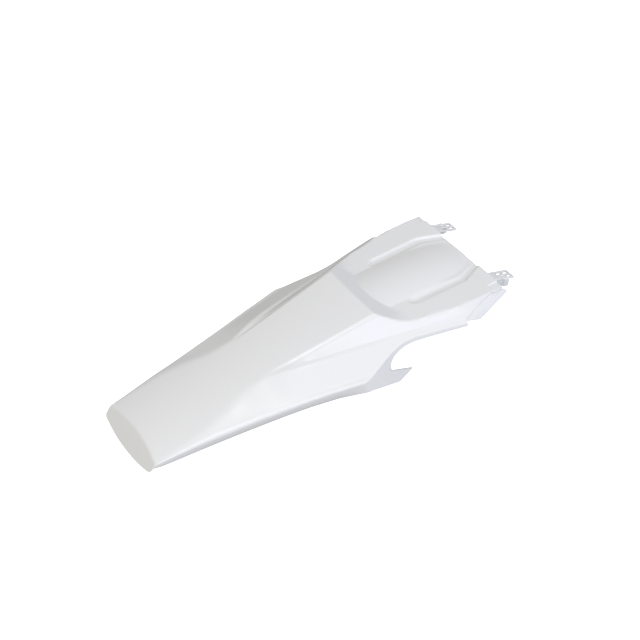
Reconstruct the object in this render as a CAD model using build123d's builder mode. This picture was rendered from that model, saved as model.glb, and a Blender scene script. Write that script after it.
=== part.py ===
"""Rear fender of an off-road motorcycle, one injection-moulded shell of even wall.

The shell is drawn as it lies on a bench: on the lip of its tail and on its two side lugs.
X runs forward from the tail lip, Y to the left and Z up from the bench, all in millimetres.
The finished part is moved so that its origin is below the middle of its box.
"""

import os
from math import cos, radians, sin, tan

from build123d import *

# Overall sizes
FRONT_X = 562.0  # front edge of the seat pan
TAB_REACH = 42.0  # how far the two fixing tabs stand out ahead of it
WALL = 2.5  # wall of the moulding

# Tail: its top is a long crowned plane that ends in a bevelled face
TAIL_X = 13.0  # where the shoulders start
TAIL_HALF = 61.0  # half width at the shoulders there
TAIL_Z = 21.0  # height of the centre line there
TAIL_SHOULDER_Z = 15.4
BEVEL_ANGLE = 46.8  # slant of the end face
LIP_RADIUS = 183.0  # of the lower edge, drawn on the end face

# Wings: the shoulders sweep out and flatten towards them
WING_X = 317.0
WING_HALF = 114.5
WING_Z = 44.0
SHOULDER_RADIUS = 3.0
STRIP_TAIL = 4.5  # flatter strip along the shoulder: its width at the tail
STRIP_WING = 8.0  # and at the wing
STRIP_SLOPE = 0.3
SKIRT_TUCK = 4.5  # degrees that the skirt leans inward
SKIRT_LINE = ((TAIL_X, 6.2), (90.0, 10.0), (160.0, 15.0), (245.0, 21.8))  # its lower edge, as (x, z)
SKIRT_END = (WING_X + 7.0, 22.0)

# Step down from the top of the tail into the seat pan
STEP_X = 366.0
STEP_Z = 96.6
STEP_ANGLE = 24.0
STEP_BLEND = 14.0  # radius at the foot of the step
STEP_CROWN = 1.0
TAIL_CROWN = 5.6

# Ridge on each side of the top, which starts out of the soft tail
RIDGE_X = 207.0
RIDGE_FULL_X = 241.0  # from here on its side stands at its full slope
RIDGE_HALF = 40.6
RIDGE_STEP_HALF = 53.8
RIDGE_GROWTH = 60.0  # length over which its bead grows
BEAD_WIDTH = 2.0  # bevel along the ridge
BEAD_FALL = 1.6
BEAD_LEDGE = 1.4  # fine ledge under that bevel

# Seat pan, with a crowned middle between two channels
PAN_Z = 80.0  # at the foot of the step
PAN_SLOPE = 1.6
DOME_HALF = 46.0
DOME_RISE = 6.0
DOME_FRONT_HALF = 24.0
DOME_FRONT_RISE = 2.6
CHANNEL_WIDTH = 12.0
CHANNEL_DEPTH = 4.0
CHANNEL_LENGTH = 119.0  # from its nose to the front edge
CHANNEL_KINK = 38.0  # behind the front edge
CHANNEL_NOSE_Y = 51.5
CHANNEL_KINK_Y = 53.0
CHANNEL_FRONT_Y = 38.0

# Waist: the sides are scooped in between the wings and the front
WAIST_X = 386.0
WAIST_HALF = 94.6
WAIST_RADIUS = 95.0
WAIST_Z = 60.0  # height at which those sizes hold
WAIST_REAR_ANGLE = 14.3
WAIST_FRONT_ANGLE = 12.0
WAIST_DRAFT = 9.2
FLANGE_Z = 58.5  # lower edge of the flange along the waist
FLANGE_SETBACK = 78.0  # its front end, behind the front edge of the pan

# Side lugs below the wings, on which the fender rests
LUG_LOW_X = 379.0
LUG_TIP_X = 407.0
LUG_TIP_Z = 5.0
LUG_BACK_X = 366.0
LUG_BACK_Z = 27.4
NOTCH_X = 362.5  # rear end of the notch above the lug
NOTCH_Z = 40.0
NOTCH_LINE = ((NOTCH_X, 37.0), (372.0, 49.5), (395.0, 56.5), (420.0, FLANGE_Z))  # its upper edge, as (x, z)

# Joggled side plates, set in behind the front ends of the flanks
FLANK_LOW = Vector(FRONT_X - 73.9, 109.5, 67.2)  # lower end of the joggle line
FLANK_HIGH = Vector(FRONT_X - 19.2, 97.6, 84.0)  # upper end of it
FLANK_ANGLE = 60.0  # slope of the flank across the fender
PLATE_INSET = 2.0
PLATE_REACH = 20.0
PLATE_RAKE = 19.0  # how far its ends slant forward
PLATE_LAP = 4.5  # hidden behind the flank
PLATE_CORNER = 4.0
FRONT_CUT_DEPTH = 16.0  # of the cut that ends the flank, to each side of its skin

# Lowered ears at the outer front corners of the pan
EAR_LENGTH = 17.0
EAR_INNER = 84.0
EAR_OUTER = 99.5
EAR_DROP = 2.0
EAR_LAP = 3.0
EAR_CORNER = 2.0

# Lattice tabs with their bolt bosses, at the front
TAB_DROP = 5.5  # below the pan at the root
TAB_ANGLE = 16.5
TAB_INNER = 57.5
TAB_OUTER = 76.5
TAB_THICK = 3.0
TAB_BEND = 6.0  # radius at the root
TAB_BAR = 2.6  # bars of the lattice
TAB_SOLID = 11.0  # plain length next to the root
BOSS_SETBACK = 16.0  # behind the front edge of the tab
BOSS_Y = 73.3
BOSS_Z = 57.5
BOSS_DIAMETER = 13.0
BOLT_HOLE = 6.4  # blind, open below
BOLT_DEPTH = 8.0

TOP_Z = 170.0  # above everything
BELOW_Z = -40.0  # below everything
CLEAR = 80.0  # how far the cutting blocks reach past the edge they cut

# Places that follow from these sizes
TAB_X = FRONT_X + TAB_REACH
BOSS_X = TAB_X - BOSS_SETBACK
EAR_X = FRONT_X - EAR_LENGTH
FLANGE_FRONT_X = FRONT_X - FLANGE_SETBACK
CHANNEL_NOSE_X = FRONT_X - CHANNEL_LENGTH
CHANNEL_KINK_X = FRONT_X - CHANNEL_KINK
REAR_SEAT_X = STEP_X + 0.38 * (FRONT_X - STEP_X)
FRONT_SEAT_X = STEP_X + 0.68 * (FRONT_X - STEP_X)


def guide(x, knots):
    """Value of a guide line at x: a smooth curve through its few knots, flat-ended in slope."""
    if x <= knots[0][0]:
        return knots[0][1]
    if x >= knots[-1][0]:
        return knots[-1][1]
    slopes = [(b[1] - a[1]) / (b[0] - a[0]) for a, b in zip(knots, knots[1:])]
    inner = [0.0 if p * q <= 0 else 2 * p * q / (p + q) for p, q in zip(slopes, slopes[1:])]
    tangents = [slopes[0], *inner, slopes[-1]]
    for i, (a, b) in enumerate(zip(knots, knots[1:])):
        if x <= b[0]:
            h = b[0] - a[0]
            t = (x - a[0]) / h
            rise = (3 - 2 * t) * t * t * (b[1] - a[1])
            return a[1] + rise + h * t * (1 - t) * ((1 - t) * tangents[i] - t * tangents[i + 1])


def line(x, a, b):
    """Straight guide line through two (x, value) points, carried on past both."""
    return a[1] + (b[1] - a[1]) * (x - a[0]) / (b[0] - a[0])


def centre_z(x):
    return line(x, (TAIL_X, TAIL_Z), (STEP_X, STEP_Z))


def crown_z(x, y):
    """Height of the crowned top at a distance y from the centre line."""
    share = line(x, (TAIL_X, 0.0), (STEP_X, 1.0))
    drop = TAIL_CROWN + (STEP_CROWN - TAIL_CROWN) * share
    half = TAIL_HALF + (RIDGE_STEP_HALF - TAIL_HALF) * share
    return centre_z(x) - drop * (y / half) ** 2


def shoulder(x):
    """Half width and height of the shoulder line, which sweeps out and flattens."""
    t = (x - TAIL_X) / (WING_X - TAIL_X)
    half = TAIL_HALF + (WING_HALF - TAIL_HALF) * (0.67 * t + 0.33 * t * t)
    height = TAIL_SHOULDER_Z + (WING_Z - TAIL_SHOULDER_Z) * (1.775 * t - 0.775 * t * t)
    return half, height


# Guide lines of the side forms: the gap between the soft fold of the tail and the shoulder, then the
# foot of the upper facet and the outer edge of the ledge below it, in plan and in height
FOLD_GAP = ((TAIL_X, 12.0), (80.0, 13.5), (140.0, 28.0), (RIDGE_X, 46.0))
FOOT_GAP = 2.6  # from the ridge to the foot where the ridge starts
LEDGE_GAP = 3.9  # and to the ledge
FOOT_HALF = (
    (RIDGE_X, RIDGE_HALF + FOOT_GAP),
    (RIDGE_FULL_X, 48.0),
    (292.0, 60.5),
    (STEP_X, 77.6),
    (REAR_SEAT_X, 94.5),
    (FRONT_SEAT_X, 102.8),
    (FRONT_X, 103.6),
)
FOOT_Z = (
    (RIDGE_X, crown_z(RIDGE_X, RIDGE_HALF + FOOT_GAP)),
    (RIDGE_FULL_X, 66.0),
    (292.0, 68.5),
    (STEP_X, 69.5),
    (REAR_SEAT_X, 72.5),
    (FRONT_SEAT_X, 74.5),
    (FRONT_X, 73.6),
)
LEDGE_HALF = (
    (RIDGE_X, RIDGE_HALF + LEDGE_GAP),
    (RIDGE_FULL_X, 58.5),
    (292.0, 69.8),
    (STEP_X, 84.2),
    (REAR_SEAT_X, 100.0),
    (FRONT_SEAT_X, 111.0),
    (FRONT_X, 109.5),
)
LEDGE_Z = (
    (RIDGE_X, crown_z(RIDGE_X, RIDGE_HALF + LEDGE_GAP)),
    (RIDGE_FULL_X, 64.0),
    (292.0, 66.0),
    (STEP_X, 67.2),
    (REAR_SEAT_X, 68.5),
    (FRONT_SEAT_X, 66.4),
    (FRONT_X, 64.0),
)


def ridge_points(x):
    """Corners of half a cross section at x, from the ridge out to the ledge."""
    grown = min(max((x - RIDGE_X) / RIDGE_GROWTH, 0.0), 1.0)
    if x < RIDGE_X:
        ledge_y = shoulder(x)[0] - guide(x, FOLD_GAP)
        foot_y = ledge_y - LEDGE_GAP + FOOT_GAP
        ridge_y = ledge_y - LEDGE_GAP
        foot = (foot_y, crown_z(x, foot_y))
        ledge = (ledge_y, crown_z(x, ledge_y))
    else:
        ridge_y = line(x, (RIDGE_X, RIDGE_HALF), (STEP_X, RIDGE_STEP_HALF))
        foot = (guide(x, FOOT_HALF), guide(x, FOOT_Z))
        ledge = (guide(x, LEDGE_HALF), guide(x, LEDGE_Z))
    bead_y = ridge_y + BEAD_WIDTH * (1.0 + grown) / 2
    under_y = bead_y + BEAD_LEDGE * (1.0 + grown) / 2
    ridge = (ridge_y, crown_z(x, ridge_y))
    bead = (bead_y, crown_z(x, bead_y) - BEAD_FALL * grown)
    under = (under_y, crown_z(x, under_y) - 1.1 * BEAD_FALL * grown)
    return ridge, bead, under, foot, ledge


TAIL_STATIONS = (25, 80, 115, 150, 180, RIDGE_X, 224, RIDGE_FULL_X, 266, 292, 330)
SEAT_STATIONS = [STEP_X + share * (FRONT_X - STEP_X) for share in (0.0, 0.2, 0.43, 0.68, 0.84, 0.99)]
STATIONS = (*TAIL_STATIONS, *SEAT_STATIONS)


def body_section(x, inset):
    """Left half of the cross section at x, drawn a wall's depth inside if inset is given."""
    ridge, bead, under, foot, ledge = ridge_points(x)
    half, height = shoulder(x)
    lean = tan(radians(SKIRT_TUCK))
    low_half = half - lean * (height - BELOW_Z)
    top = (-inset, centre_z(x) - inset)
    with BuildSketch(Plane.YZ.offset(x)) as section:
        with BuildLine():
            if inset:
                first = (ridge[0] - 0.3 * inset, ridge[1] - inset)
                last = (low_half - inset, BELOW_Z - inset)
                Polyline(
                    first,
                    (foot[0] - 0.6 * inset, foot[1] - 0.9 * inset),
                    (ledge[0] - 0.4 * inset, ledge[1] - inset),
                    (half - inset, height - 0.6 * inset),
                    last,
                )
            else:
                first = ridge
                last = (low_half, BELOW_Z)
                strip = line(min(max(x, 80.0), WING_X), (80.0, STRIP_TAIL), (WING_X, STRIP_WING))
                slope = min(STRIP_SLOPE, 0.9 * (ledge[1] - height) / strip)
                strip_top = (half - strip, height + slope * strip)
                start = (half - SHOULDER_RADIUS, height + slope * SHOULDER_RADIUS)
                bend = (half - 0.27 * SHOULDER_RADIUS, height - 0.15 * SHOULDER_RADIUS)
                end = (half - lean * SHOULDER_RADIUS, height - SHOULDER_RADIUS)
                Polyline(ridge, bead, under, foot, ledge, strip_top, start)
                ThreePointArc(start, bend, end)
                Line(end, last)
            Polyline(last, (-inset, last[1]), top)
            TangentArc(top, first, tangent=(1, 0))
        make_face()
    return section.sketch


PAN_TILT = tan(radians(PAN_SLOPE))
STEP_FALL = tan(radians(STEP_ANGLE))
PAN_FOOT_X = STEP_X + (STEP_Z - PAN_Z) / STEP_FALL
PAST_FRONT_X = FRONT_X + 20.0
AHEAD_X = FRONT_X + 80.0
BEHIND_X = -60.0
REAR_X = -14.0  # rear end of the form, before the bevel cuts it
REAR_RUN = tan(radians(WAIST_REAR_ANGLE))
BEVEL_NORMAL = (-sin(radians(BEVEL_ANGLE)), 0.0, cos(radians(BEVEL_ANGLE)))


def pan_z(x):
    return PAN_Z + PAN_TILT * (x - PAN_FOOT_X)


def waist_half(level, inset):
    """Half width between the straight runs at the waist, which leans in with height."""
    return WAIST_HALF + tan(radians(WAIST_DRAFT)) * (WAIST_Z - level) - inset


def scooped_plan(level, inset):
    """Plan of the sides above the notch: straight runs joined by a scoop."""
    waist = waist_half(level, inset)
    rear = waist + REAR_RUN * (WAIST_X - BEHIND_X)
    front = waist + tan(radians(WAIST_FRONT_ANGLE)) * (AHEAD_X - WAIST_X)
    with BuildSketch(Plane.XY.offset(level)) as plan:
        with BuildLine():
            FilletPolyline((BEHIND_X, rear), (WAIST_X, waist), (AHEAD_X, front), radius=WAIST_RADIUS)
            Polyline((AHEAD_X, front), (AHEAD_X, -CLEAR), (BEHIND_X, -CLEAR), (BEHIND_X, rear))
        make_face()
    return plan.sketch


def straight_plan(level, inset):
    """Plan of the sides below the notch: the rear runs alone, carried on for the lugs."""
    waist = waist_half(level, inset)
    end_x = LUG_TIP_X + 10.0 - inset
    with BuildSketch(Plane.XY.offset(level)) as plan:
        with BuildLine():
            rear = waist + REAR_RUN * (WAIST_X - BEHIND_X)
            front = waist - REAR_RUN * (end_x - WAIST_X)
            corners = [(BEHIND_X, -CLEAR), (BEHIND_X, rear), (end_x, front), (end_x, -CLEAR)]
            Polyline(*corners, close=True)
        make_face()
    return plan.sketch


def side_walls(inset):
    """Block bounded by the sides of the fender, scooped above the notch and straight below."""
    split_z = NOTCH_Z + inset / 2
    upper = [scooped_plan(level, inset) for level in (split_z, TOP_Z)]
    lower = [straight_plan(level, inset) for level in (BELOW_Z - 5.0, split_z)]
    with BuildPart() as walls:
        loft(sections=upper, ruled=True)
        loft(sections=lower, ruled=True)
    return walls.part


def pocket_profile(inset):
    """Side view of what is cut away above the seat pan: the step's slope and the pan's floor."""
    back = STEP_X - 60.0
    with BuildSketch(Plane.XZ) as profile:
        with BuildLine():
            slope_top = (back, STEP_Z - inset + STEP_FALL * (STEP_X - back))
            foot = (PAN_FOOT_X, PAN_Z - inset)
            front = (PAST_FRONT_X + 20.0, pan_z(PAST_FRONT_X + 20.0) - inset)
            FilletPolyline(slope_top, foot, front, radius=STEP_BLEND)
            Polyline(front, (front[0], TOP_Z), (back, TOP_Z), slope_top)
        make_face()
    return profile.sketch


def dome_section(x, half, rise, inset):
    """Left half of the crowned middle of the pan in section, rooted below the pan's floor."""
    floor = pan_z(x) - inset
    top = (-inset, floor + rise)
    with BuildSketch(Plane.YZ.offset(x)) as section:
        with BuildLine():
            TangentArc(top, (half, floor - 1.0), tangent=(1, 0))
            Polyline((half, floor - 1.0), (half, floor - 8.0), (-inset, floor - 8.0), top)
        make_face()
    return section.sketch


def channel_floor(inset):
    """Plan of the left channel's floor: two rounded runs that meet at its kink."""
    plane = Plane((0, 0, pan_z(0.0)), x_dir=(1, 0, PAN_TILT), z_dir=(-PAN_TILT, 0, 1))
    width = CHANNEL_WIDTH - 2 * CHANNEL_DEPTH + 0.8 * inset
    nose = Vector(CHANNEL_NOSE_X, CHANNEL_NOSE_Y)
    kink = Vector(CHANNEL_KINK_X, CHANNEL_KINK_Y)
    past = line(PAST_FRONT_X, (CHANNEL_KINK_X, CHANNEL_KINK_Y), (FRONT_X, CHANNEL_FRONT_Y))
    front = Vector(PAST_FRONT_X, past)
    with BuildSketch(plane.offset(-CHANNEL_DEPTH - inset)) as floor:
        for start, end in ((nose, kink), (kink, front)):
            SlotCenterPoint(center=(start + end) / 2, point=end, height=width)
    return floor.sketch


def moulded_form(inset):
    """Left half of the form under the outer skin, or under the inner skin a wall below it."""
    bevel = Plane((0, 0, 0), x_dir=(0, 1, 0), z_dir=BEVEL_NORMAL)
    ends = (REAR_X + inset, *STATIONS, PAST_FRONT_X + inset)
    sections = [body_section(x, inset) for x in ends]
    walls = side_walls(inset)
    pocket = pocket_profile(inset)
    dome = [
        dome_section(STEP_X + 6.0, DOME_HALF, DOME_RISE, inset),
        dome_section(REAR_SEAT_X, DOME_HALF, DOME_RISE, inset),
        dome_section(CHANNEL_KINK_X, DOME_HALF - 4.0, DOME_RISE - 0.8, inset),
        dome_section(PAST_FRONT_X, DOME_FRONT_HALF, DOME_FRONT_RISE, inset),
    ]
    channel = channel_floor(inset)
    with BuildPart() as form:
        loft(sections=sections)
        add(walls, mode=Mode.INTERSECT)
        split(bisect_by=bevel.offset(-inset), keep=Keep.BOTTOM)
        extrude(pocket, amount=TOP_Z, both=True, mode=Mode.SUBTRACT)
        loft(sections=dome)
        extrude(channel, amount=CHANNEL_DEPTH + DOME_RISE, taper=-45.0, mode=Mode.SUBTRACT)
    return form.part


outer_form = moulded_form(0.0)
inner_form = moulded_form(WALL)

# Plane of the flank at its front end: along the joggle line, then forward and down, then out
along = FLANK_HIGH - FLANK_LOW
across = Vector(0, cos(radians(FLANK_ANGLE)), -sin(radians(FLANK_ANGLE)))
flank = Plane(FLANK_LOW, x_dir=along, z_dir=along.cross(across))

with BuildPart() as front_cut:
    with BuildSketch(flank):
        with Locations((-PLATE_LAP / 2, 0)):
            Rectangle(along.length + 2 * PLATE_LAP, CLEAR, align=(Align.MIN, Align.MIN))
    extrude(amount=FRONT_CUT_DEPTH, both=True)
    with BuildSketch(Plane.XY.offset(FLANGE_Z)):
        with Locations((EAR_X, EAR_INNER)):
            Rectangle(CLEAR, CLEAR, align=(Align.MIN, Align.MIN))
    extrude(amount=TOP_Z - FLANGE_Z)

with BuildPart() as side_plate:
    with BuildSketch(flank.offset(-PLATE_INSET)):
        with BuildLine():
            corners = [
                (2.0 * PLATE_INSET, -PLATE_LAP),
                (0.0, 0.0),
                (PLATE_RAKE, PLATE_REACH),
                (along.length + PLATE_RAKE, PLATE_REACH),
                (along.length, 0.0),
                (along.length - 4 * PLATE_LAP, -PLATE_LAP),
            ]
            Polyline(*corners, close=True)
        make_face()
        fillet(vertices().sort_by(Axis.X)[-1], radius=PLATE_CORNER)
    extrude(amount=-WALL)

with BuildPart() as ear:
    with BuildSketch(Plane.XY.offset(pan_z(EAR_X) - EAR_DROP)):
        with Locations((EAR_X - EAR_LAP, EAR_INNER - EAR_LAP)):
            Rectangle(
                FRONT_X - EAR_X + EAR_LAP,
                EAR_OUTER - EAR_INNER + EAR_LAP,
                align=(Align.MIN, Align.MIN),
            )
    extrude(amount=-WALL)
    fillet(ear.edges().filter_by(Axis.Z).group_by(Axis.Y)[-1], radius=EAR_CORNER)

tab_fall = tan(radians(TAB_ANGLE))
tab_root_z = pan_z(FRONT_X) - TAB_DROP
tab_width = TAB_OUTER - TAB_INNER
tab_length = (TAB_X - FRONT_X) / cos(radians(TAB_ANGLE))
tab_plane = Plane(
    (FRONT_X, (TAB_INNER + TAB_OUTER) / 2, tab_root_z),
    x_dir=(1, 0, -tab_fall),
    z_dir=(tab_fall, 0, 1),
)
half_thick = TAB_THICK / 2
tab_end_x = TAB_X - half_thick * sin(radians(TAB_ANGLE))
window_length = (tab_length - TAB_SOLID - 2 * TAB_BAR) / 2
window_width = (tab_width - 3 * TAB_BAR) / 2

with BuildPart() as tab:
    with BuildSketch(Plane.XZ.offset(-TAB_INNER)):
        with BuildLine():
            FilletPolyline(
                (FRONT_X - half_thick, pan_z(FRONT_X) - 0.5),
                (FRONT_X - half_thick, tab_root_z - half_thick + tab_fall * half_thick),
                (tab_end_x, tab_root_z - half_thick - tab_fall * (tab_end_x - FRONT_X)),
                radius=TAB_BEND,
            )
        trace(line_width=TAB_THICK)
    extrude(amount=-tab_width)
    with BuildSketch(tab_plane.offset(TAB_THICK)):
        with Locations((tab_length - TAB_BAR - window_length - TAB_BAR / 2, 0)):
            with GridLocations(window_length + TAB_BAR, window_width + TAB_BAR, 2, 2):
                Rectangle(window_length, window_width)
    extrude(amount=-3 * TAB_THICK, mode=Mode.SUBTRACT)

with BuildPart() as boss:
    with BuildSketch(Plane.XY.offset(BOSS_Z)):
        with Locations((BOSS_X, BOSS_Y)):
            Circle(BOSS_DIAMETER / 2)
    extrude(amount=CLEAR)
    split(bisect_by=tab_plane.offset(-half_thick), keep=Keep.BOTTOM)
    with BuildSketch(Plane.XY.offset(BOSS_Z)):
        with Locations((BOSS_X, BOSS_Y)):
            Circle(BOLT_HOLE / 2)
    extrude(amount=BOLT_DEPTH, mode=Mode.SUBTRACT)

with BuildPart() as rear_fender:
    add(outer_form)
    add(inner_form, mode=Mode.SUBTRACT)
    # Lower outline seen from the side: skirt, lug, notch and flange, then the open front
    with BuildSketch(Plane.XZ):
        with BuildLine():
            flange_top = FLANGE_Z + 8.0
            lug_back = (LUG_BACK_X, LUG_BACK_Z)
            Polyline((BEHIND_X, TOP_Z), (BEHIND_X, 0.0), (TAIL_X / 2, 0.0), SKIRT_LINE[0])
            Spline(*SKIRT_LINE, SKIRT_END)
            Polyline(SKIRT_END, (LUG_LOW_X, 0.0), (LUG_TIP_X, LUG_TIP_Z), lug_back)
            Spline(lug_back, *NOTCH_LINE)
            Polyline(
                NOTCH_LINE[-1],
                (FLANGE_FRONT_X, FLANGE_Z),
                (FLANGE_FRONT_X, flange_top),
                (FRONT_X, flange_top),
                (FRONT_X, TOP_Z),
                (BEHIND_X, TOP_Z),
            )
        make_face()
    extrude(amount=TOP_Z, both=True, mode=Mode.INTERSECT)
    # Lip of the tail: its lower edge is an arc drawn on the bevelled face
    with BuildSketch(Plane((0, 0, 0), x_dir=(0, -1, 0), z_dir=BEVEL_NORMAL)):
        with BuildLine():
            reach = TAIL_HALF + 10.0
            rise = reach**2 / (2 * LIP_RADIUS)
            ThreePointArc((-reach, rise), (0.0, 0.0), (reach, rise))
            Polyline((reach, rise), (reach, -30.0), (-reach, -30.0), (-reach, rise))
        make_face()
    extrude(amount=12.0, both=True, mode=Mode.SUBTRACT)
    add(front_cut.part, mode=Mode.SUBTRACT)
    for feature in (side_plate, ear, tab, boss):
        add(feature.part)
    mirror(about=Plane.XZ)

fender = rear_fender.part.moved(Location((-TAB_X / 2, 0, 0)))
fender.label = "rear_fender"
os.makedirs("parts", exist_ok=True)
export_step(fender, "parts/rear_fender.step")
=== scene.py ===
"""Glossy white rear fender of an off-road motorcycle, lying on a pale studio floor.

The moulding is one piece. Its skin is laid over the same kind of guide lines as the solid, with the
creases eased as a mould leaves them, and the small parts at its front are built next to it.
Sizes are drawn in millimetres, X forward from the tail lip, Y to the left and Z up from the floor,
and placed in metres in the part's frame.
"""

from math import cos, radians, sin, tan

import bmesh
import bpy
import numpy as np
from mathutils import Matrix, Vector


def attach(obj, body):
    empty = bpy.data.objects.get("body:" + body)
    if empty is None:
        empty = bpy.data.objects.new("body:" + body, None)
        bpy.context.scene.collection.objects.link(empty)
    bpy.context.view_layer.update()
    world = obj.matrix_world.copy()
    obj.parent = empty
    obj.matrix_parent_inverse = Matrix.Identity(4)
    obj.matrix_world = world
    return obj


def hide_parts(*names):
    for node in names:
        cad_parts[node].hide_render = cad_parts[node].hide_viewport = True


# Camera: a long lens above and behind the right side, its place in metres
CAMERA_PLACE = Vector((-0.7042, -1.0709, 1.2473))
CAMERA_RIGHT = Vector((0.8311, -0.5562, 0.0))
CAMERA_UP = Vector((0.3753, 0.5607, 0.7381))
CAMERA_LENS = 70.3125
CAMERA_SENSOR = 36.0

# Overall sizes
MILLIMETRE = 0.001  # in metres
MIDDLE_X = 302.0  # middle of the part's box, which is its origin
FRONT_X = 562.0  # front edge of the seat pan
TAB_X = 604.0  # front ends of the tabs
WALL = 2.5

# Tail: its top is a long crowned plane that ends in a bevelled face
TAIL_X = 13.0  # where the shoulders start
TAIL_HALF = 64.5  # half width at the shoulders there
TAIL_Z = 21.0  # height of the centre line there
TAIL_SHOULDER_Z = 15.4
TAIL_CROWN = 5.6
BEVEL_ANGLE = 46.8  # slant of the end face
LIP_RADIUS = 280.0  # of the lower edge, drawn on the end face
LIP_END_X = 5.7  # of the two ends of that edge
LIP_BLEND_X = 30.0  # up to here the columns of the skin turn from the lip's arc to straight ones
TAIL_CORNER = 4.0  # radius of the two corners of the tail
CORNER_SHARE = 0.75  # how much of that radius lies inside the shoulder's bend
CORNER_INSET = 0.3  # how much of that arc pulls in the sides

# Wings: the shoulders sweep out and flatten towards them
WING_X = 317.0
WING_HALF = 117.1
WING_Z = 44.0
SHOULDER_OUT = 0.67  # straight share of how the shoulders widen, the rest is curved
SHOULDER_UP = 1.775  # how steeply they rise at the tail, where 1 is a straight rise
STRIP_WIDTH = ((80.0, 4.5), (WING_X, 8.0))  # flatter strip along the shoulder, as (x, width)
STRIP_SLOPE = 0.3
STRIP_SHARE = 0.5  # most of the flank's width that the strip takes
STRIP_FALL = 0.9  # most of the flank's height that the strip takes
SKIRT_TUCK = 2.0  # degrees that the skirt leans inward
SKIRT_CURL = 0.01  # how it curves inward, lower down
SKIRT_CURL_FADE = 40.0  # length over which that curve fades out at the wing
SKIRT_END_X = 337.0  # from here on it stops widening

# Step down from the top of the tail into the seat pan
STEP_X = 366.0
STEP_Z = 96.6
STEP_ANGLE = 24.0
STEP_CROWN = 1.0
STEP_BLEND = ((38.0, 1.4), (50.0, 3.5), (62.0, 7.0))  # height of the blend at its foot, as (y, height)

# Ridge on each side of the top, which starts out of the soft tail
RIDGE_X = 192.0
RIDGE_FULL_X = 241.0  # from here on its side stands at its full slope
RIDGE_HALF = 39.35
RIDGE_STEP_HALF = 53.8
RIDGE_GROWTH = 60.0  # length over which its bead grows
BEAD_WIDTH = 3.0  # bevel along the ridge
BEAD_FALL = 2.6
BEAD_LEDGE = 1.6  # fine ledge under that bevel
LEDGE_FALL = 1.1  # of that ledge's outer edge, in falls of the bevel
FOLD_FOOT = 1.3  # behind the ridge its foot runs on this far inside the fold
FOLD_RIDGE = 3.9  # and its crest this far

# Seat pan, with a crowned middle between two channels
PAN_Z = 80.0  # at the foot of the step
PAN_SLOPE = 1.6
DOME_SINK = 1.0  # how far the edge of the crowned middle dips below the pan
CHANNEL = ((443.0, 51.5), (524.0, 53.0), (582.0, 30.1))  # its kinked centre line, as (x, y)
CHANNEL_DEPTH = 3.4
CHANNEL_FLOOR = 3.6  # half width of its floor
CHANNEL_SLOPES = (0.5, 1.7)  # of its inner and its outer wall

# Waist: the sides are scooped in between the wings and the front
WAIST_X = 386.0
WAIST_HALF = 94.6
WAIST_RADIUS = 95.0
WAIST_Z = 60.0  # height at which those sizes hold
WAIST_DRAFT = 9.2
WAIST_REAR_ANGLE = 14.3
WAIST_FRONT_ANGLE = 12.0
WAIST_BLEND = 3.0  # between the skirt and the waist
FLANGE_FRONT_X = 486.5  # front end of the flange along the waist

# Side lugs below the wings, on which the fender rests
NOTCH_X = 362.5  # rear end of the notch above the lug
LUG_X = 324.0  # where the skirt turns down to the lug
LUG_LOW_X = 379.0
LUG_TIP_X = 407.0
LUG_BLUNT_X = 406.6  # the tip is cut off here
LUG_START_X = 362.0  # the lug's own mesh starts just behind the notch

# Joggled side plates, set in behind the front ends of the flanks
FLANK_LOW = Vector((488.1, 109.5, 67.2))  # lower end of the joggle line
FLANK_HIGH = Vector((542.8, 97.6, 84.0))  # upper end of it
FLANK_ANGLE = 60.0  # slope of the flank across the fender
JOGGLE_RANGE = (90.0, 116.0)  # half widths between which that line is looked for on the skin
JOGGLE_TRIES = 261
JOGGLE_RUN = 3.2  # slope from the flank down to the plate
JOGGLE_FALL = 2.9
PLATE_INSET = 2.6
PLATE_REACH = 20.0
PLATE_RAKE = 19.0  # how far its ends slant forward
PLATE_LAP = 4.5  # hidden behind the flank
# Outline of the plate, as distances along and across the joggle line: from its lower end, then its upper
PLATE_LOW = ((-0.8, -PLATE_LAP), (-7.0, 0.0), (-4.5, 2.5), (PLATE_RAKE, PLATE_REACH))
PLATE_HIGH = (
    (PLATE_RAKE - 2.0, PLATE_REACH + 1.0),
    (PLATE_RAKE + 1.4, PLATE_REACH + 0.6),
    (PLATE_RAKE + 2.6, PLATE_REACH - 1.2),
    (PLATE_RAKE + 1.8, PLATE_REACH - 4.4),
    (3.0, 0.0),
    (-4 * PLATE_LAP, -PLATE_LAP),
)

# Lowered ears at the outer front corners of the pan
EAR_X = 545.0
EAR_INNER = 84.0
EAR_OUTER = 99.5
EAR_DROP = 2.0
EAR_LAP = 3.0
EAR_CORNER = 2.0
EAR_ARC = 0.6  # distance of the middle of that corner from both sides
EAR_RUN = 1.4  # slope from the pan down into the ear
EAR_SINK = 0.4

# Lattice tabs at the front
TAB_DROP = 5.5  # below the pan at the root
TAB_ANGLE = 16.5
TAB_INNER = 57.5
TAB_OUTER = 76.5
TAB_THICK = 3.0
TAB_BEND = 6.0  # radius at the root
TAB_BEND_STEPS = 6
TAB_BAR = 3.2  # bars of the lattice
TAB_SOLID = 17.0  # plain length next to the root
TAB_ROOT_GAP = 0.8  # from the top of the pan down to the root
TAB_TIP_GAP = 0.45  # keeps the slanted end inside the part's box

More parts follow.
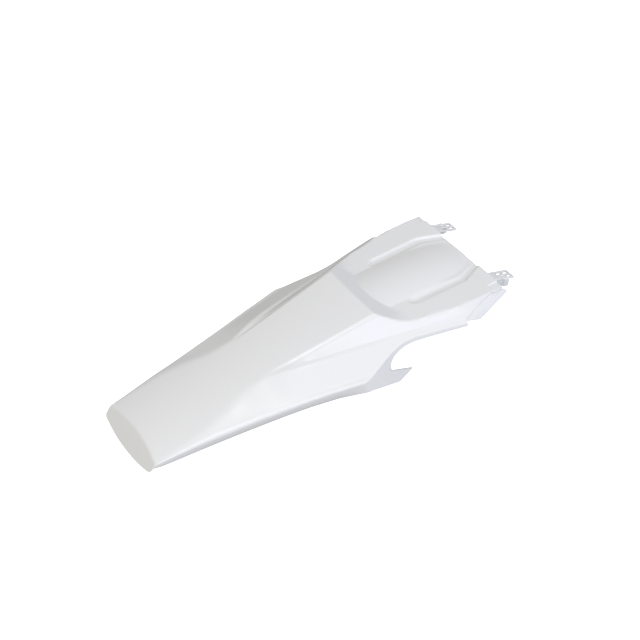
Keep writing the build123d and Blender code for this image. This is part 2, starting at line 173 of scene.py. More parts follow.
# Round posts under the tabs, each with a blind bolt hole and a web behind it
BOSS_X = 588.0
BOSS_Y = 73.3
BOSS_Z = 57.5
BOSS_RADIUS = 6.5
BOSS_EASE = 0.6
BOSS_TURNS = 40
BOLT_RADIUS = 3.2
BOLT_DEPTH = 8.0
PINHOLE = 0.05  # radius of the small discs that close the hole and the top of the post
WEB_SETBACK = 1.5  # behind the front edge of the pan
WEB_RISE = 1.5  # above the foot of the post
WEB_LENGTH = 8.0  # of its foot
WEB_TOP = 2.0  # below the pan at its rear end
WEB_BOTTOM = 14.0
WEB_OFFSET = 1.0  # from the middle of the post

# Guide lines of the moulding, as (x, value)
FOLD_GAP = ((TAIL_X, 4.0), (82.0, 5.5), (126.0, 22.5), (158.0, 39.0), (RIDGE_X, 47.0))
FOOT_HALF = (
    (RIDGE_X, 42.0), (RIDGE_FULL_X, 52.5), (292.0, 64.0), (STEP_X, 79.5), (440.0, 95.0), (500.0, 102.8),
    (FRONT_X, 103.6),
)
FOOT_Z = (
    (RIDGE_X, 57.6), (RIDGE_FULL_X, 64.9), (292.0, 67.3), (STEP_X, 68.9), (440.0, 72.5), (500.0, 74.5),
    (FRONT_X, 73.6),
)
LEDGE_HALF = (
    (RIDGE_X, 43.3), (RIDGE_FULL_X, 58.5), (292.0, 69.8), (STEP_X, 84.2), (440.0, 100.0), (500.0, 111.0),
    (FRONT_X, 109.5),
)
LEDGE_Z = (
    (RIDGE_X, 57.5), (RIDGE_FULL_X, 64.0), (292.0, 66.0), (STEP_X, 67.2), (440.0, 68.5), (500.0, 66.4),
    (FRONT_X, 64.0),
)
DOME_HALF = ((STEP_X, 46.0), (450.0, 46.0), (524.0, 42.0), (582.0, 24.0))
DOME_RISE = ((STEP_X, 6.0), (450.0, 6.0), (520.0, 4.2), (566.0, 0.3))
MIDDLE_DROP = ((490.0, 0.0), (556.0, 2.8))  # of the middle of the pan towards its front edge
SKIRT_Z = (
    (9.0, 10.3), (TAIL_X, 9.2), (25.0, 7.2), (90.0, 10.0), (160.0, 15.0), (245.0, 21.8), (LUG_X, 22.0),
)
LUG_REAR_Z = ((LUG_X, 22.0), (LUG_LOW_X, 0.0))
LUG_LOW_Z = ((LUG_START_X, 6.8), (LUG_LOW_X, 0.0), (LUG_TIP_X, 5.0))
LUG_HIGH_Z = ((LUG_START_X, 37.0), (363.4, 32.0), (366.0, 27.4), (LUG_TIP_X, 5.2))
NOTCH_Z = ((NOTCH_X, 37.0), (365.0, 43.5), (372.0, 49.5), (395.0, 56.5), (420.0, 58.5))
SHOULDER_RADIUS = (
    (8.0, 0.4), (TAIL_X, 1.0), (40.0, 2.4), (110.0, 5.0), (180.0, 5.5), (240.0, 3.6), (WING_X, 2.4),
    (360.0, 1.8),
)
FRONT_RADIUS = 0.05  # the edges ahead of the flange are all but sharp

# Grid of the skin: columns along the fender as (end, count), rows from the centre line outwards
COLUMNS = ((LIP_BLEND_X, 16), (200.0, 40), (350.0, 52), (420.0, 48), (FLANGE_FRONT_X, 30), (FRONT_X, 40))
ROWS = (36, 5, 4, 14, 6, 14, 6)
LEAST_ROW = 0.35  # least distance between two rows
LEAST_RUN = 0.05  # least distance between two corners of the cross section
CHANNEL_ROWS = 3  # rows that follow the outer wall of the channel
CHANNEL_ROW_GAP = 1.6
CHANNEL_ROW_START = 0.5  # inside the foot of that wall
BEND_ROWS = 5  # round the shoulder
WALL_ROWS = 12  # down the side
LEAST_WALL = 0.5  # least height of a side
WALL_GROWTH = 8.0  # length over which the sides grow to their height, from the tail on
WALL_START = 0.05  # share of their height that they start with
THINNEST = 0.3  # share of the wall's thickness that they start with
WIDEST = 130.0  # the search for the edge starts at most this far out
EDGE_TRIES = 6
SLACK = 0.1  # when a column is compared with a place
LUG_GRID = (25, 9)  # columns and rows of a lug

# Easing of the creases: how far it reaches to each side, across as (x, reach), and in how many steps
EASE_ALONG = 1.0
EASE_ALONG_STEPS = 5
EASE_ACROSS = (
    (40.0, 4.0), (75.0, 9.0), (110.0, 12.0), (150.0, 9.0), (180.0, 6.0), (198.0, 4.0), (215.0, 2.2),
    (245.0, 1.1), (275.0, 0.8),
)
EASE_ACROSS_STEPS = 11
SHARP_ANGLE = radians(40.0)  # edges that turn more than this are shaded as sharp
TAB_EDGE = 0.5  # eased edges of the small parts
WEB_EDGE = 0.4
EAR_EDGE = 0.5
PLATE_EDGE = 0.6

# Plastics as (name, bright, dull, range of roughness, size and depth of the grain), in metres
WHITE = (0.865, 0.87, 0.88, 1.0)
DUSTY = (0.857, 0.862, 0.871, 1.0)
INNER = (0.81, 0.815, 0.825, 1.0)
OUTER_SKIN = ("white_plastic", WHITE, DUSTY, (0.2, 0.26), 0.0012, 0.00001)
INNER_SKIN = ("matt_plastic", INNER, DUSTY, (0.4, 0.52), 0.0009, 0.00004)
PLATE_SKIN = ("grained_plastic", WHITE, DUSTY, (0.3, 0.4), 0.0008, 0.00005)
NOISE_RANGE = (0.3, 0.7)  # the part of a noise's values that is used
CLOUD_SIZE = 0.25
POLISH_SIZE = 0.05
RIPPLE_SIZE = 0.016
RIPPLE_DEPTH = 0.00008
RIPPLE_STRENGTH = 0.25
GRAIN_STRENGTH = 0.5

# Studio, in metres: a bright floor and air that is paler above
FLOOR_SIZE = 60.0
FLOOR_PAINT = (0.9, 0.9, 0.9, 1.0)
FLOOR_GLOW = 1.0
AIR_TILT = 30.0  # degrees, of the bright side of the air towards the right
AIR_RANGE = (0.45, 0.7)  # heights between which the air changes, from 0 below to 1 above
LOW_AIR = (0.305, 0.309, 0.296, 1.0)
HIGH_AIR = (0.638, 0.622, 0.624, 1.0)

# Soft lights as (name, place, size, power, colour): low on the right, higher, behind, and overhead
LIGHTS = (
    ("key", (0.24, -2.16, 1.06), 1.6, 14.4, (0.585, 0.688, 1.0)),
    ("shine", (-0.5, -1.45, 1.86), 0.8, 9.8, (0.868, 0.987, 1.0)),
    ("rear", (-1.56, -1.56, 1.01), 1.6, 6.9, (1.0, 0.819, 0.421)),
    ("over", (0.25, -0.35, 2.2), 0.45, 2.6, (1.0, 0.933, 0.798)),
)
LIGHT_TARGET = Vector((0, 0, 0.05))

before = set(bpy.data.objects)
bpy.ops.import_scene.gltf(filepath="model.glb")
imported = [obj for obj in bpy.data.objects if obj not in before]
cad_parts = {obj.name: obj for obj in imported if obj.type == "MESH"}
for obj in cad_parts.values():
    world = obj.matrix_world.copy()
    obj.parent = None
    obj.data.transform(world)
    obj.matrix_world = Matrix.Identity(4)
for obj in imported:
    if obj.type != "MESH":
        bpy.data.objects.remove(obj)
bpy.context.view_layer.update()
scene = bpy.context.scene


def guide(x, knots):
    """Smooth line through a few knots, kept level past its ends."""
    xs, values = np.array(knots).T
    x = np.clip(x, xs[0], xs[-1])
    slopes = np.diff(values) / np.diff(xs)
    product = slopes[:-1] * slopes[1:]
    means = np.where(product > 0, 2 * product / (slopes[:-1] + slopes[1:] + (product <= 0)), 0.0)
    tangents = np.concatenate((slopes[:1], means, slopes[-1:]))
    i = np.clip(np.searchsorted(xs, x) - 1, 0, len(xs) - 2)
    h = xs[i + 1] - xs[i]
    t = (x - xs[i]) / h
    rise = (3 - 2 * t) * t * t * (values[i + 1] - values[i])
    return values[i] + rise + h * t * (1 - t) * ((1 - t) * tangents[i] - t * tangents[i + 1])


def bent(x, knots):
    """Straight runs between knots."""
    return np.interp(x, *np.array(knots).T)


def easing(first, second, reach):
    """How far a soft change from one line to another keeps off them where they cross."""
    near = np.clip(1 - np.abs(first - second) / reach, 0.0, 1.0)
    return 0.25 * reach * near**2


def rounded(past):
    """Fall of the tail's corner arc, a distance past its start; it stops just short of upright."""
    past = np.clip(past, 0.0, TAIL_CORNER)
    return TAIL_CORNER - np.sqrt(TAIL_CORNER**2 - 0.98 * past**2)


def crown_z(x, y):
    """Height of the crowned top of the tail."""
    share = (x - TAIL_X) / (STEP_X - TAIL_X)
    drop = TAIL_CROWN + (STEP_CROWN - TAIL_CROWN) * share
    half = TAIL_HALF + (RIDGE_STEP_HALF - TAIL_HALF) * share
    return TAIL_Z + (STEP_Z - TAIL_Z) * share - drop * (y / half) ** 2


def shoulder(x):
    """Half width and height of the shoulder line."""
    t = (x - TAIL_X) / (WING_X - TAIL_X)
    out = SHOULDER_OUT * t + (1 - SHOULDER_OUT) * t * t
    up = SHOULDER_UP * t - (SHOULDER_UP - 1) * t * t
    return TAIL_HALF + (WING_HALF - TAIL_HALF) * out, TAIL_SHOULDER_Z + (WING_Z - TAIL_SHOULDER_Z) * up


def corners(x):
    """Corners of the cross section from the ridge out to the shoulder, as pairs (y, z)."""
    grown = np.clip((x - RIDGE_X) / RIDGE_GROWTH, 0.0, 1.0)
    half, height = shoulder(x)
    tail = x < RIDGE_X
    ledge = np.where(tail, half - guide(x, FOLD_GAP), guide(x, LEDGE_HALF))
    foot = np.where(tail, ledge - FOLD_FOOT, guide(x, FOOT_HALF))
    run = (x - RIDGE_X) / (STEP_X - RIDGE_X)
    ridge = np.where(tail, ledge - FOLD_RIDGE, RIDGE_HALF + (RIDGE_STEP_HALF - RIDGE_HALF) * run)
    bead = ridge + BEAD_WIDTH * (1.0 + grown) / 2
    under = bead + BEAD_LEDGE * (1.0 + grown) / 2
    bead_z = crown_z(x, bead) - BEAD_FALL * grown
    under_z = crown_z(x, under) - LEDGE_FALL * BEAD_FALL * grown
    foot_z = np.where(tail, crown_z(x, foot), guide(x, FOOT_Z))
    ledge_z = np.where(tail, crown_z(x, ledge), guide(x, LEDGE_Z))
    strip = np.minimum(bent(x, STRIP_WIDTH), STRIP_SHARE * (half - ledge))
    slope = np.minimum(STRIP_SLOPE, STRIP_FALL * (ledge_z - height) / strip)
    return (
        (ridge, crown_z(x, ridge)),
        (bead, bead_z),
        (under, under_z),
        (foot, foot_z),
        (ledge, ledge_z),
        (half - strip, height + slope * strip),
        (half, height),
    )


def pan_z(x):
    """Height of the seat pan, without its crowned middle."""
    foot_x = STEP_X + (STEP_Z - PAN_Z) / tan(radians(STEP_ANGLE))
    return PAN_Z + tan(radians(PAN_SLOPE)) * (x - foot_x)


def channel_distance(x, y):
    """Distance from the centre line of the channel, seen from above."""
    away = np.inf
    for (x0, y0), (x1, y1) in zip(CHANNEL, CHANNEL[1:]):
        run = np.hypot(x1 - x0, y1 - y0)
        share = np.clip(((x - x0) * (x1 - x0) + (y - y0) * (y1 - y0)) / run**2, 0.0, 1.0)
        away = np.minimum(away, np.hypot(x - x0 - share * (x1 - x0), y - y0 - share * (y1 - y0)))
    return away


def sharp_z(x, y):
    """Height of the skin with its creases still sharp."""
    places = corners(x)
    z = crown_z(x, y)
    for (near, near_z), (far, far_z) in zip(places, places[1:]):
        run = np.maximum(far - near, LEAST_RUN)
        z = np.where(y > near, near_z + (far_z - near_z) * (y - near) / run, z)
    step = STEP_Z - tan(radians(STEP_ANGLE)) * (x - STEP_X)
    middle = y < bent(x, CHANNEL)
    floor = pan_z(x) - np.where(middle, guide(x, MIDDLE_DROP), 0.0)
    z = np.minimum(z, np.maximum(step, floor) + easing(step, floor, bent(y, STEP_BLEND)))
    rise = guide(x, DOME_RISE)
    dome = floor + rise - (rise + DOME_SINK) * (y / guide(x, DOME_HALF)) ** 2
    z = np.where(x > STEP_X, np.maximum(z, dome), z)
    slope = np.where(middle, *CHANNEL_SLOPES)
    wall = slope * np.maximum(channel_distance(x, y) - CHANNEL_FLOOR, 0.0)
    z = np.minimum(z, pan_z(x) - CHANNEL_DEPTH + wall)
    return np.minimum(z, tan(radians(BEVEL_ANGLE)) * x)


def shares(count):
    """Evenly spread steps from -1 to 1 with weights that fall off to both ends."""
    steps = np.linspace(-1, 1, count)
    weights = 1 - np.abs(steps) * (count - 1) / (count + 1)
    return list(zip(steps, weights / weights.sum()))


def skin_z(x, y):
    """Height of the skin, its creases eased by a mean over a small patch."""
    reach = guide(x, EASE_ACROSS)
    return sum(
        across * along * sharp_z(x + step * EASE_ALONG, np.abs(y + side * reach))
        for step, along in shares(EASE_ALONG_STEPS)
        for side, across in shares(EASE_ACROSS_STEPS)
    )


def side_y(x, z):
    """Distance of the side walls from the centre plane: the skirt, then the scooped waist."""
    half, height = shoulder(np.minimum(x, SKIRT_END_X))
    curl = SKIRT_CURL * np.clip((WING_X - x) / SKIRT_CURL_FADE, 0.0, 1.0)
    skirt = half - tan(radians(SKIRT_TUCK)) * (height - z) - curl * np.maximum(height - z, 0.0) ** 2
    rear = tan(radians(WAIST_REAR_ANGLE))
    front = tan(radians(WAIST_FRONT_ANGLE))
    tangent = WAIST_RADIUS * tan(radians(WAIST_REAR_ANGLE + WAIST_FRONT_ANGLE) / 2)
    t = np.clip((x - WAIST_X + tangent) / (2 * tangent), 0.0, 1.0)
    scoop = rear * np.maximum(WAIST_X - x, tangent) - rear * (2 * tangent * t)
    scoop = scoop + (rear + front) * tangent * t * t
    scoop = scoop + front * np.maximum(x - WAIST_X - tangent, 0.0)
    waist = WAIST_HALF + tan(radians(WAIST_DRAFT)) * (WAIST_Z - z) + scoop
    return np.minimum(skirt, waist) - easing(skirt, waist, WAIST_BLEND)


def low_z(x):
    """Lower edge of the sides: skirt, lug, notch and flange."""
    rear = np.where(x < LUG_X, guide(x, SKIRT_Z), bent(x, LUG_REAR_Z))
    return np.where(x > NOTCH_X + SLACK, guide(x, NOTCH_Z), rear)


def flank_axes():
    """Axes of the flank's front end: along the joggle line, forward across it, and out of it."""
    along = FLANK_HIGH - FLANK_LOW
    across = Vector((0, cos(radians(FLANK_ANGLE)), -sin(radians(FLANK_ANGLE))))
    normal = along.cross(across).normalized()
    return along.normalized(), normal.cross(along.normalized()), normal


def column_places():
    """Places of the grid's columns along the fender."""
    ends = [0.0] + [end for end, _ in COLUMNS]
    runs = [np.linspace(a, b, n, endpoint=False) for a, (b, n) in zip(ends, COLUMNS)]
    return np.append(np.concatenate(runs), FRONT_X)


def swept(x, lip):
    """Moves the columns next to the tail so that the first of them follows the lip."""
    return np.where(x < LIP_BLEND_X, lip + (LIP_BLEND_X - lip) * x / LIP_BLEND_X, x)


def side_edge(x):
    """Half width at which the top meets the sides."""
    edge = np.minimum(shoulder(x)[0], WIDEST)
    for _ in range(EDGE_TRIES):
        edge = 0.5 * edge + 0.5 * side_y(x, skin_z(x, edge))
    return edge


def front_edge(x):
    """Half width at which the top ends ahead of the flange: the joggle line, then the ear."""
    _, forward, _ = flank_axes()
    near, far = JOGGLE_RANGE
    tries = np.linspace(near, far, JOGGLE_TRIES)[:, None]
    past_x = forward.x * (x - FLANK_LOW.x)
    past_y = forward.y * (tries - FLANK_LOW.y)
    past_z = forward.z * (skin_z(x[None, :], tries) - FLANK_LOW.z)
    behind = (past_x + past_y + past_z < 0).sum(axis=0)
    return np.where(x > EAR_X, EAR_INNER, near + (far - near) / (JOGGLE_TRIES - 1) * behind)


def top_points(x, edge, radius):
    """Points of the top, from the centre line out to where the shoulder's bend starts."""
    lines = [y for y, _ in corners(x)[:-1]]
    wall = bent(x, CHANNEL) + CHANNEL_FLOOR - CHANNEL_ROW_START
    beside = bent(x, ((STEP_X, 0.0), (CHANNEL[0][0], 1.0)))
    for k in range(CHANNEL_ROWS):
        lines[k] = lines[k] + beside * (wall + k * CHANNEL_ROW_GAP - lines[k])
    knots = [np.zeros_like(x)] + lines + [edge - radius]
    for k in range(len(ROWS) - 1, 0, -1):
        knots[k] = np.minimum(knots[k], knots[k + 1] - LEAST_ROW * ROWS[k])
    rows = [a + (b - a) * i / n for a, b, n in zip(knots, knots[1:], ROWS) for i in range(n)]
    y = np.stack(rows + [knots[-1]], axis=1)
    past = y - edge[:, None] + radius[:, None] + CORNER_SHARE * TAIL_CORNER
    lip = (y**2 / (2 * LIP_RADIUS) + rounded(past)) * cos(radians(BEVEL_ANGLE))
    column = swept(np.repeat(x[:, None], y.shape[1], axis=1), lip)
    return np.stack((column, y, skin_z(column, y)), axis=2)


def side_points(end, edge, radius, inset, grown):
    """Points of a side, round the shoulder's bend and down to the lower edge."""
    x, end_y, end_z = end.T
    corner_z = 2 * end_z - skin_z(x, end_y - radius)
    bend_z = corner_z - radius * grown
    bend_y = side_y(x, bend_z) - inset
    rows = []
    for i in range(1, BEND_ROWS + 1):
        t = i / BEND_ROWS
        bow_y = (1 - t) ** 2 * end_y + 2 * t * (1 - t) * edge + t * t * bend_y
        bow_z = (1 - t) ** 2 * end_z + 2 * t * (1 - t) * corner_z + t * t * bend_z
        rows.append(np.stack((x, bow_y, bow_z), axis=1))
    foot_z = bend_z - grown * np.maximum(bend_z - low_z(x), LEAST_WALL)
    for i in range(1, WALL_ROWS + 1):
        z = bend_z + (foot_z - bend_z) * i / WALL_ROWS
        rows.append(np.stack((x, side_y(x, z) - inset, z), axis=1))
    return np.stack(rows, axis=1)


def front_slope(x, end):
    """Points of the short slopes ahead of the flange, down to the side plate and into the ear."""
    _, forward, outward = flank_axes()
    to_ear = np.array((0.0, EAR_RUN, -EAR_DROP - EAR_SINK))
    to_plate = np.array(JOGGLE_RUN * forward - JOGGLE_FALL * outward)
    slope = np.where((x > EAR_X)[:, None], to_ear, to_plate)
    count = BEND_ROWS + WALL_ROWS
    steps = np.arange(1, count + 1) / count
    return end[:, None, :] + steps[None, :, None] * slope[:, None, :]


def half_grid():
    """Points of the left half of the outer skin, columns by rows, and its normals."""
    x = column_places()
    side_x = swept(x, LIP_END_X)
    at_front = x > FLANGE_FRONT_X + SLACK
    inset = CORNER_INSET * rounded(TAIL_CORNER - x)
    edge = np.where(at_front, front_edge(x), side_edge(side_x) - inset)
    radius = np.where(at_front, FRONT_RADIUS, guide(side_x, SHOULDER_RADIUS))
    grown = np.clip(x / WALL_GROWTH, WALL_START, 1.0)
    top = top_points(x, edge, radius)
    sides = side_points(top[:, -1], edge, radius, inset, grown)
    sides[at_front] = front_slope(x, top[:, -1])[at_front]
    points = np.concatenate((top, sides), axis=1)
    normals = np.cross(np.gradient(points, axis=0), np.gradient(points, axis=1))
    normals /= np.maximum(np.linalg.norm(normals, axis=2, keepdims=True), 1e-9)
    count = top.shape[1]
    normals[at_front, count - 2 :] = normals[at_front, count - 3 : count - 2]
    normals[:, count:] *= np.maximum(grown, THINNEST)[:, None, None]
    return points, normals


def whole(grid):
    """Left half of a grid joined to its mirror image."""
    return np.concatenate((grid[:, :0:-1] * np.array((1, -1, 1)), grid), axis=1)


def finish_piece(piece, *materials):
    """Puts a piece into the scene as part of the fender."""
    for material in materials:
        piece.data.materials.append(material)
    scene.collection.objects.link(piece)
    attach(piece, "root")
    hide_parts("rear_fender")


def mesh_of(name, points, faces):
    """Mesh from points in millimetres, with all its faces turned outwards."""
    mesh = bpy.data.meshes.new(name)
    places = (np.asarray(points) - np.array((MIDDLE_X, 0, 0))) * MILLIMETRE
    mesh.from_pydata(places.tolist(), [], faces)
    turned = bmesh.new()
    turned.from_mesh(mesh)
    bmesh.ops.recalc_face_normals(turned, faces=turned.faces)
    turned.to_mesh(mesh)
    turned.free()
    mesh.shade_smooth()
    mesh.set_sharp_from_angle(angle=SHARP_ANGLE)
    return bpy.data.objects.new(name, mesh)


def closed_sheet(name, outer, inner):
    """Closed piece between two grids of points, joined along their borders."""
    columns, rows = outer.shape[:2]
    total = columns * rows
    number = np.arange(total).reshape(columns, rows)
    quads = np.stack((number[:-1, :-1], number[1:, :-1], number[1:, 1:], number[:-1, 1:]), axis=-1)
    quads = quads.reshape(-1, 4)
    border = np.concatenate((number[:-1, 0], number[-1, :-1], number[:0:-1, -1], number[0, :0:-1]))
    after = np.roll(border, -1)
    rim = np.stack((border, after, after + total, border + total), axis=-1)
    faces = np.concatenate((quads, quads[:, ::-1] + total, rim))
    return mesh_of(name, np.concatenate((outer.reshape(-1, 3), inner.reshape(-1, 3))), faces.tolist())


def shell():
    """Skin of the fender from its tail lip to the front of the seat pan."""
    points, normals = half_grid()
    inner = points - WALL * normals
    inner[..., 1] = np.maximum(inner[..., 1], 0.0)
    inner[:, 0, 1] = 0.0
    inner[..., 2] = np.maximum(inner[..., 2], 0.0)
    skin = closed_sheet("fender_shell", whole(points), whole(inner))
    outside = (2 * points.shape[1] - 2) * (len(points) - 1)
    inside = np.zeros(len(skin.data.polygons), dtype=np.int32)
    inside[outside : 2 * outside] = 1
    skin.data.polygons.foreach_set("material_index", inside)
    return skin


def lug(side):
    """Front end of a side lug, below the notch, on which the fender rests."""
    columns, rows = LUG_GRID
    level = np.linspace(0, 1, rows)[None, :]
    x = LUG_START_X + (LUG_BLUNT_X - LUG_START_X) * np.linspace(0, 1, columns)[:, None]
    low = bent(x, LUG_LOW_Z)
    z = low + (bent(x, LUG_HIGH_Z) - low) * level
    y = WAIST_HALF + tan(radians(WAIST_DRAFT)) * (WAIST_Z - z)
    y = y + tan(radians(WAIST_REAR_ANGLE)) * (WAIST_X - x)
    outer = np.stack((x + 0 * level, side * y, z), axis=2)
    return closed_sheet("lug", outer, outer - np.array((0, side * WALL, 0)))


def thickened(piece, thickness, edge):
    """Gives a sheet its thickness and eases its edges."""
    solid = piece.modifiers.new("thickness", "SOLIDIFY")
    solid.thickness = thickness * MILLIMETRE
    solid.offset = 0.0
    bevel = piece.modifiers.new("edges", "BEVEL")
    bevel.width = edge * MILLIMETRE
    bevel.segments = 3
    bevel.limit_method = "ANGLE"
    return piece


def tab_z(x):
    """Height of the middle of the tabs."""
    return pan_z(FRONT_X) - TAB_DROP - TAB_THICK / 2 - tan(radians(TAB_ANGLE)) * (x - FRONT_X)


def tab(side):
    """Lattice tab at the front, hung from the edge of the pan."""
    slope = radians(TAB_ANGLE)
    root_x = FRONT_X - TAB_THICK / 2
    turn = radians(90.0) - slope
    bend_z = tab_z(root_x) + TAB_BEND * tan(turn / 2)
    path = [(root_x, pan_z(FRONT_X) - TAB_ROOT_GAP)]
    for i in range(TAB_BEND_STEPS + 1):
        angle = turn * i / TAB_BEND_STEPS
        path.append((root_x + TAB_BEND * (1 - cos(angle)), bend_z - TAB_BEND * sin(angle)))
    length = (TAB_X - FRONT_X) / cos(slope)
    window = (length - TAB_SOLID - 2 * TAB_BAR) / 2
    second = TAB_SOLID + window + TAB_BAR
    marks = (TAB_SOLID, TAB_SOLID + window, second, length - TAB_BAR, length - TAB_TIP_GAP)
    path += [(FRONT_X + s * cos(slope), tab_z(FRONT_X) - s * sin(slope)) for s in marks]
    pane = (TAB_OUTER - TAB_INNER - 3 * TAB_BAR) / 2
    bars = (0, TAB_BAR, TAB_BAR + pane, 2 * TAB_BAR + pane, 2 * (TAB_BAR + pane))
    lines = [TAB_INNER + s for s in bars] + [TAB_OUTER]
    points = [(x, side * y, z) for x, z in path for y in lines]
    first = len(path) - len(marks)
    windows = [(first + i, j) for i in (0, 2) for j in (1, 3)]
    width = len(lines)
    faces = [
        (i * width + j, (i + 1) * width + j, (i + 1) * width + j + 1, i * width + j + 1)
        for i in range(len(path) - 1)
        for j in range(width - 1)
        if (i, j) not in windows
    ]
    return thickened(mesh_of("tab", points, faces), TAB_THICK, TAB_EDGE)


def boss(side):
    """Round post under a tab with a blind bolt hole, open below."""
    rings = (
        (PINHOLE, BOSS_Z + BOLT_DEPTH),
        (BOLT_RADIUS, BOSS_Z + BOLT_DEPTH),
        (BOLT_RADIUS, BOSS_Z + BOSS_EASE),
        (BOLT_RADIUS + BOSS_EASE, BOSS_Z),
        (BOSS_RADIUS - BOSS_EASE, BOSS_Z),
        (BOSS_RADIUS, BOSS_Z + BOSS_EASE),
        (BOSS_RADIUS, None),
        (PINHOLE, None),
    )
    points = []
    for radius, z in rings:
        for i in range(BOSS_TURNS):
            angle = 2 * np.pi * i / BOSS_TURNS
            x = BOSS_X + radius * cos(angle)
            y = BOSS_Y + radius * sin(angle)
            points.append((x, side * y, tab_z(x) if z is None else z))
    number = np.arange(len(points)).reshape(len(rings), BOSS_TURNS)
    after = np.roll(number, -1, axis=1)
    faces = np.stack((number[:-1], after[:-1], after[1:], number[1:]), axis=-1).reshape(-1, 4).tolist()
    faces += [number[0].tolist(), number[-1].tolist()]
    return mesh_of("boss", points, faces)


def web(side):
    """Upright web from the post under a tab back to the front edge of the pan."""
    outline = (
        (FRONT_X - WEB_SETBACK, pan_z(FRONT_X) - WEB_TOP),
        (BOSS_X, tab_z(BOSS_X)),
        (BOSS_X, BOSS_Z + WEB_RISE),
        (BOSS_X - WEB_LENGTH, BOSS_Z + WEB_RISE),
        (FRONT_X - WEB_SETBACK, pan_z(FRONT_X) - WEB_BOTTOM),
    )
    points = [(x, side * (BOSS_Y + WEB_OFFSET), z) for x, z in outline]
    return thickened(mesh_of("web", points, [range(len(outline))]), WALL, WEB_EDGE)


def ear(side):
    """Lowered corner of the pan, beside its front edge."""
    z = pan_z(EAR_X) - EAR_DROP - WALL / 2
    rear = EAR_X - EAR_LAP
    outline = (
        (rear, EAR_INNER - EAR_LAP),
        (rear, EAR_OUTER - EAR_CORNER),
        (rear + EAR_ARC, EAR_OUTER - EAR_ARC),
        (rear + EAR_CORNER, EAR_OUTER),
        (FRONT_X - EAR_CORNER, EAR_OUTER),
        (FRONT_X - EAR_ARC, EAR_OUTER - EAR_ARC),
        (FRONT_X, EAR_OUTER - EAR_CORNER),
        (FRONT_X, EAR_INNER - EAR_LAP),
    )
    points = [(x, side * y, z) for x, y in outline]
    return thickened(mesh_of("ear", points, [range(len(outline))]), WALL, EAR_EDGE)


def side_plate(side):
    """Joggled plate, set in behind the front end of the flank."""
    along, forward, outward = flank_axes()
    length = (FLANK_HIGH - FLANK_LOW).length
    outline = PLATE_LOW + tuple((length + u, v) for u, v in PLATE_HIGH)
    base = FLANK_LOW - (PLATE_INSET + WALL / 2) * outward
    places = [base + u * along + v * forward for u, v in outline]
    points = [(place.x, side * place.y, place.z) for place in places]
    return thickened(mesh_of("side_plate", points, [range(len(outline))]), WALL, PLATE_EDGE)


def plastic(name, bright, dull, polish, grain_size, grain_depth):
    """Moulded plastic: two close whites in soft clouds, uneven polish, a slow ripple and a fine grain."""
    material = bpy.data.materials.new(name)
    material.use_nodes = True
    nodes, links = material.node_tree.nodes, material.node_tree.links
    shader = nodes["Principled BSDF"]
    place = nodes.new("ShaderNodeTexCoord")

    def noise(size, detail):
        """Noise with spots of a size in metres."""
        texture = nodes.new("ShaderNodeTexNoise")
        texture.inputs["Scale"].default_value = 1.0 / size
        texture.inputs["Detail"].default_value = detail
        links.new(place.outputs["Object"], texture.inputs["Vector"])
        return texture.outputs["Fac"]

    def bump(height, strength, depth):
        """Small relief on the surface, a depth in metres."""
        relief = nodes.new("ShaderNodeBump")
        relief.inputs["Strength"].default_value = strength
        relief.inputs["Distance"].default_value = depth
        links.new(height, relief.inputs["Height"])
        return relief

    clouds = nodes.new("ShaderNodeValToRGB")
    for element, position, colour in zip(clouds.color_ramp.elements, NOISE_RANGE, (dull, bright)):
        element.position = position
        element.color = colour
    links.new(noise(CLOUD_SIZE, 1.0), clouds.inputs["Fac"])
    links.new(clouds.outputs["Color"], shader.inputs["Base Color"])

    gloss = nodes.new("ShaderNodeMapRange")
    for socket, value in zip(("From Min", "From Max", "To Min", "To Max"), NOISE_RANGE + polish):
        gloss.inputs[socket].default_value = value
    links.new(noise(POLISH_SIZE, 2.0), gloss.inputs["Value"])
    links.new(gloss.outputs["Result"], shader.inputs["Roughness"])

    ripple = bump(noise(RIPPLE_SIZE, 1.0), RIPPLE_STRENGTH, RIPPLE_DEPTH)
    grain = bump(noise(grain_size, 2.0), GRAIN_STRENGTH, grain_depth)
    links.new(ripple.outputs["Normal"], grain.inputs["Normal"])
    links.new(grain.outputs["Normal"], shader.inputs["Normal"])
    return material


def lay_floor():
    """White floor that glows, and neither lights the fender nor is mirrored in it."""
    bpy.ops.mesh.primitive_plane_add(size=FLOOR_SIZE)
    floor = bpy.context.object
    floor.name = "floor"
    floor.visible_diffuse = False
    floor.visible_glossy = False
    paint = bpy.data.materials.new("floor_paint")
    paint.use_nodes = True
    shader = paint.node_tree.nodes["Principled BSDF"]
    shader.inputs["Base Color"].default_value = FLOOR_PAINT
    shader.inputs["Emission Color"].default_value = (1, 1, 1, 1)
    shader.inputs["Emission Strength"].default_value = FLOOR_GLOW
    floor.data.materials.append(paint)


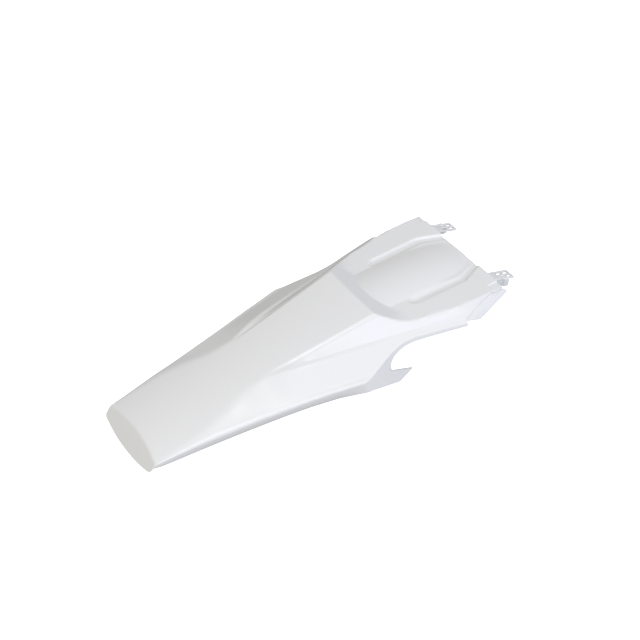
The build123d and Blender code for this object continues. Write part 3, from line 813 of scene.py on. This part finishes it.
def fill_air():
    """Air that grows paler from below on the left to above on the right."""
    world = bpy.data.worlds.new("studio_air")
    scene.world = world
    world.use_nodes = True
    nodes, links = world.node_tree.nodes, world.node_tree.links
    place = nodes.new("ShaderNodeTexCoord")
    tilt = nodes.new("ShaderNodeMapping")
    tilt.inputs["Rotation"].default_value = (-radians(AIR_TILT), 0, 0)
    split = nodes.new("ShaderNodeSeparateXYZ")
    level = nodes.new("ShaderNodeMapRange")
    level.inputs["From Min"].default_value = -1.0
    ramp = nodes.new("ShaderNodeValToRGB")
    for element, position, colour in zip(ramp.color_ramp.elements, AIR_RANGE, (LOW_AIR, HIGH_AIR)):
        element.position = position
        element.color = colour
    links.new(place.outputs["Generated"], tilt.inputs["Vector"])
    links.new(tilt.outputs["Vector"], split.inputs["Vector"])
    links.new(split.outputs["Z"], level.inputs["Value"])
    links.new(level.outputs["Result"], ramp.inputs["Fac"])
    links.new(ramp.outputs["Color"], nodes["Background"].inputs["Color"])


def area_light(name, place, size, power, colour):
    """Soft square light at a place, turned to the fender."""
    light = bpy.data.lights.new(name, "AREA")
    light.size = size
    light.energy = power
    light.color = colour
    lamp = bpy.data.objects.new(name, light)
    lamp.location = place
    lamp.rotation_euler = (LIGHT_TARGET - Vector(place)).to_track_quat("-Z", "Y").to_euler()
    scene.collection.objects.link(lamp)


def place_camera():
    """Camera of the scene, and colours that are shown as they are."""
    camera = bpy.data.objects.new("camera", bpy.data.cameras.new("camera"))
    scene.collection.objects.link(camera)
    camera.data.lens = CAMERA_LENS
    camera.data.sensor_width = CAMERA_SENSOR
    back = CAMERA_RIGHT.cross(CAMERA_UP)
    turn = Matrix((CAMERA_RIGHT, CAMERA_UP, back)).transposed()
    camera.matrix_world = Matrix.Translation(CAMERA_PLACE) @ turn.to_4x4()
    scene.camera = camera
    scene.view_settings.view_transform = "Standard"


white = plastic(*OUTER_SKIN)
matt = plastic(*INNER_SKIN)
grained = plastic(*PLATE_SKIN)
finish_piece(shell(), white, matt)
for side in (1, -1):
    for build in (lug, tab, boss, web, ear):
        finish_piece(build(side), white)
    finish_piece(side_plate(side), grained)
lay_floor()
fill_air()
for light in LIGHTS:
    area_light(*light)
place_camera()
